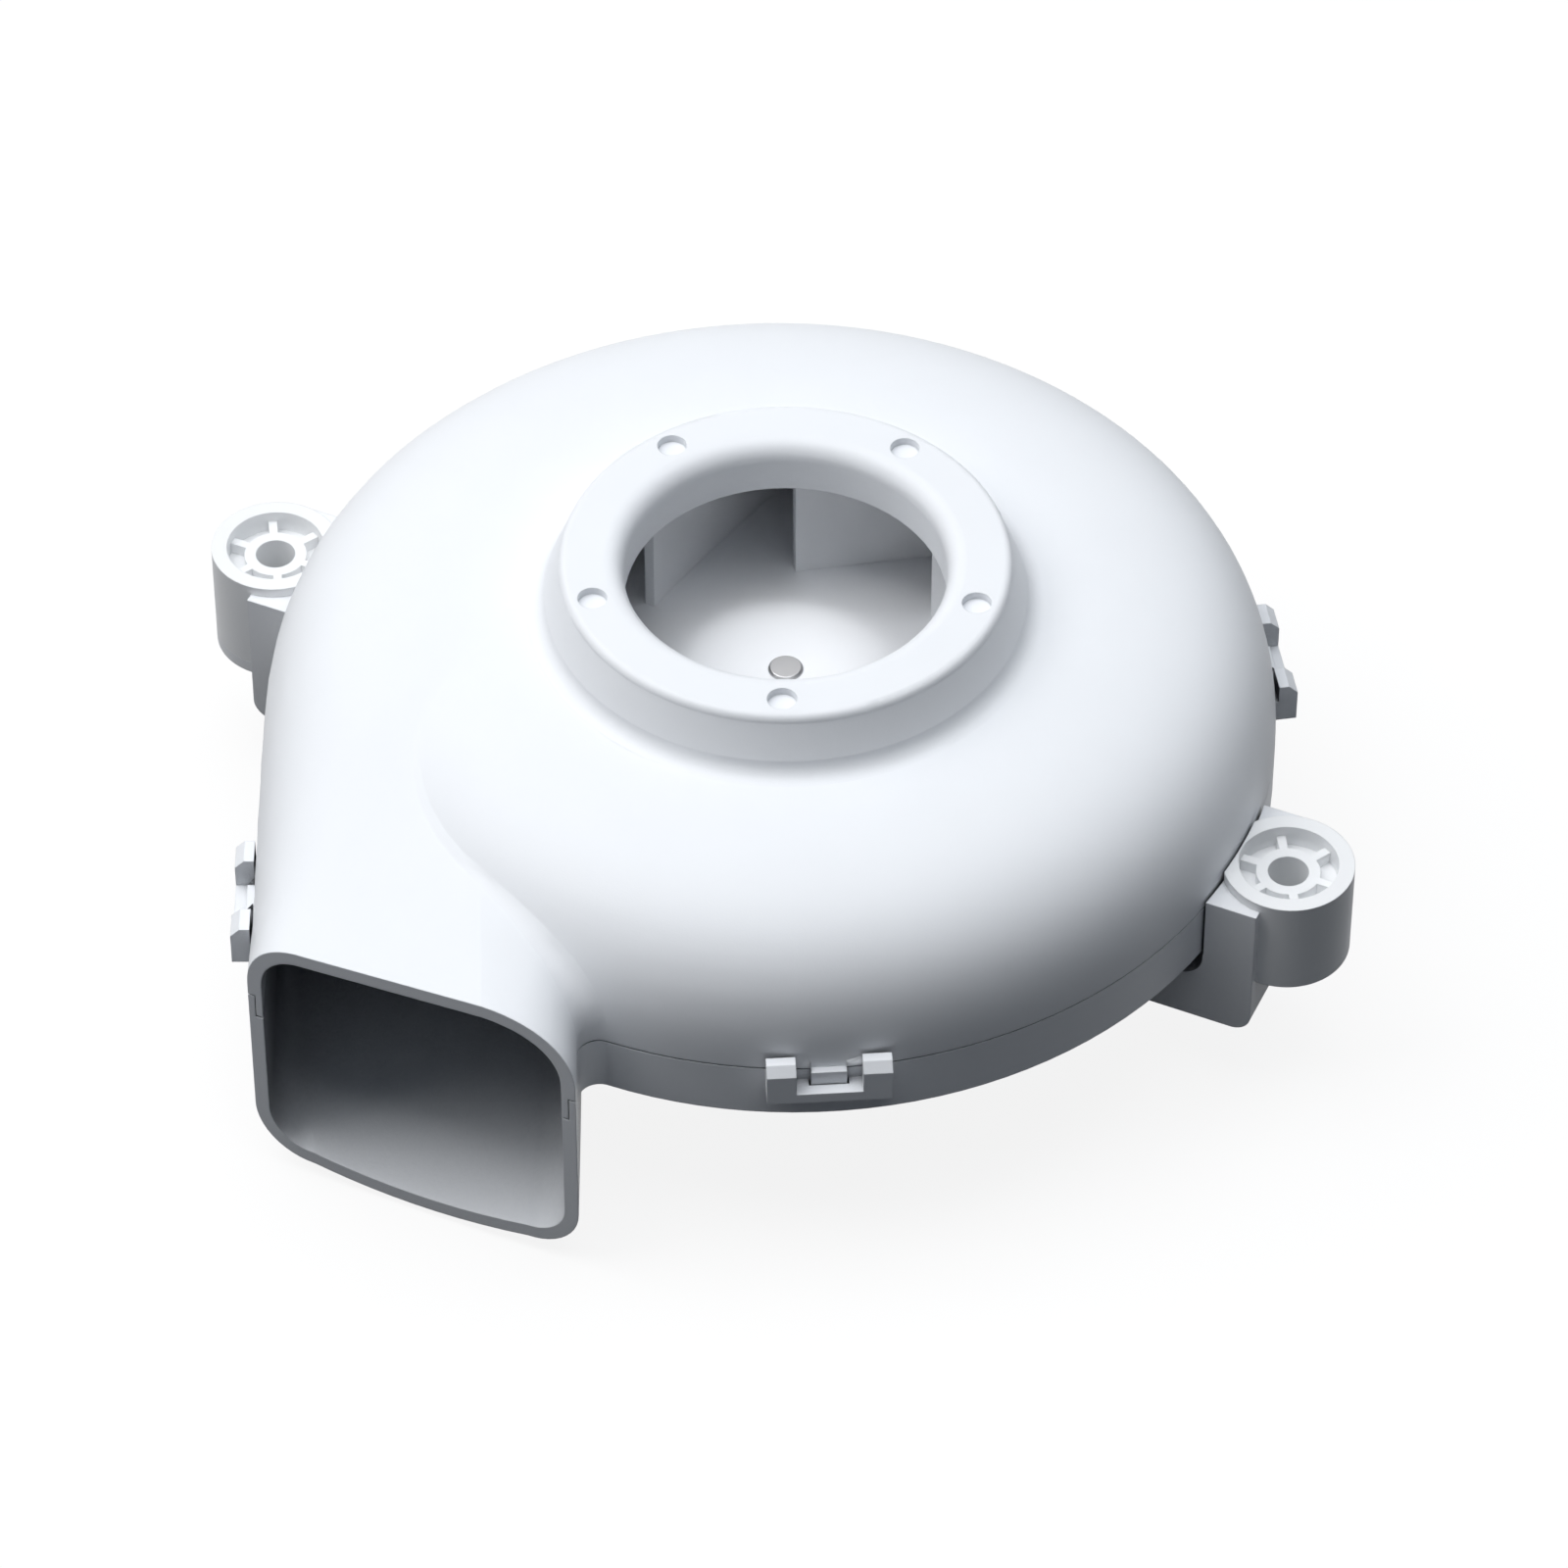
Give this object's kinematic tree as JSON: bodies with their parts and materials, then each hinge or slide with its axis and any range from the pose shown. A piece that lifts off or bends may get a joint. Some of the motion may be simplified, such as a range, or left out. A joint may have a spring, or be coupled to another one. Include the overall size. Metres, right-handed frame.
{
  "type": "vacuum cleaner blower motor",
  "caption": "Centrifugal blower of a vacuum cleaner: scroll housing with a raised inlet collar, a skewed outlet duct, side mounting ears and a bladed impeller on a flat motor.",
  "frame": {"origin": "on the impeller axis, in the plane of the motor cover's underside that the blower rests on", "axes": "+Z along the impeller axis, out of the inlet; the outlet face looks along -Y; the two ears lie on X"},
  "size_m": [0.1792, 0.1528, 0.0665],
  "materials": {
    "housing": "satin, bright white with a slightly cool tone",
    "rotor_plastic": "satin white",
    "ear_plastic": "satin off-white",
    "cover_plastic": "fine matte white",
    "steel": "ground, dull",
    "screw_steel": "zinc plated",
    "brass": "turned",
    "copper": "enamelled wire",
    "magnet": "bonded magnet, dark grey",
    "lamination": "stacked sheet, dull grey",
    "aluminium": "die-cast, bare",
    "insulator": "natural nylon",
    "board": "green solder mask",
    "chip": "black moulded packages",
    "connector": "ivory nylon"
  },
  "bodies": {
    "housing": {"top_shell": "housing", "bottom_shell": "housing", "motor_cover": "cover_plastic", "cover_screws": "screw_steel", "motor_base": "aluminium", "motor_screws": "screw_steel", "lower_bearing_outer_ring": "steel", "upper_bearing_outer_ring": "steel", "bearing_spacer": "aluminium", "stator_core": "lamination", "upper_insulator": "insulator", "lower_insulator": "insulator", "stator_coils": "copper", "circuit_board": "board", "board_parts": "chip", "board_screws": "screw_steel", "wire_connector": "connector", "connector_pins": "brass", "left_bracket": "ear_plastic", "right_bracket": "ear_plastic", "left_bush": "ear_plastic", "right_bush": "ear_plastic", "bracket_screws": "screw_steel"},
    "rotor": {"impeller": "rotor_plastic", "impeller_insert": "brass", "motor_shaft": "steel", "rotor_cup": "steel", "rotor_magnet": "magnet", "lower_bearing_inner_ring": "steel", "upper_bearing_inner_ring": "steel", "shaft_washer": "brass", "shaft_retainer": "steel"}
  },
  "joints": [
    {"name": "impeller_spin", "type": "hinge", "parent": "housing", "child": "rotor", "pos_m": [0, 0, 0.02], "axis": [0, 0, 1], "continuous": true}
  ]
}
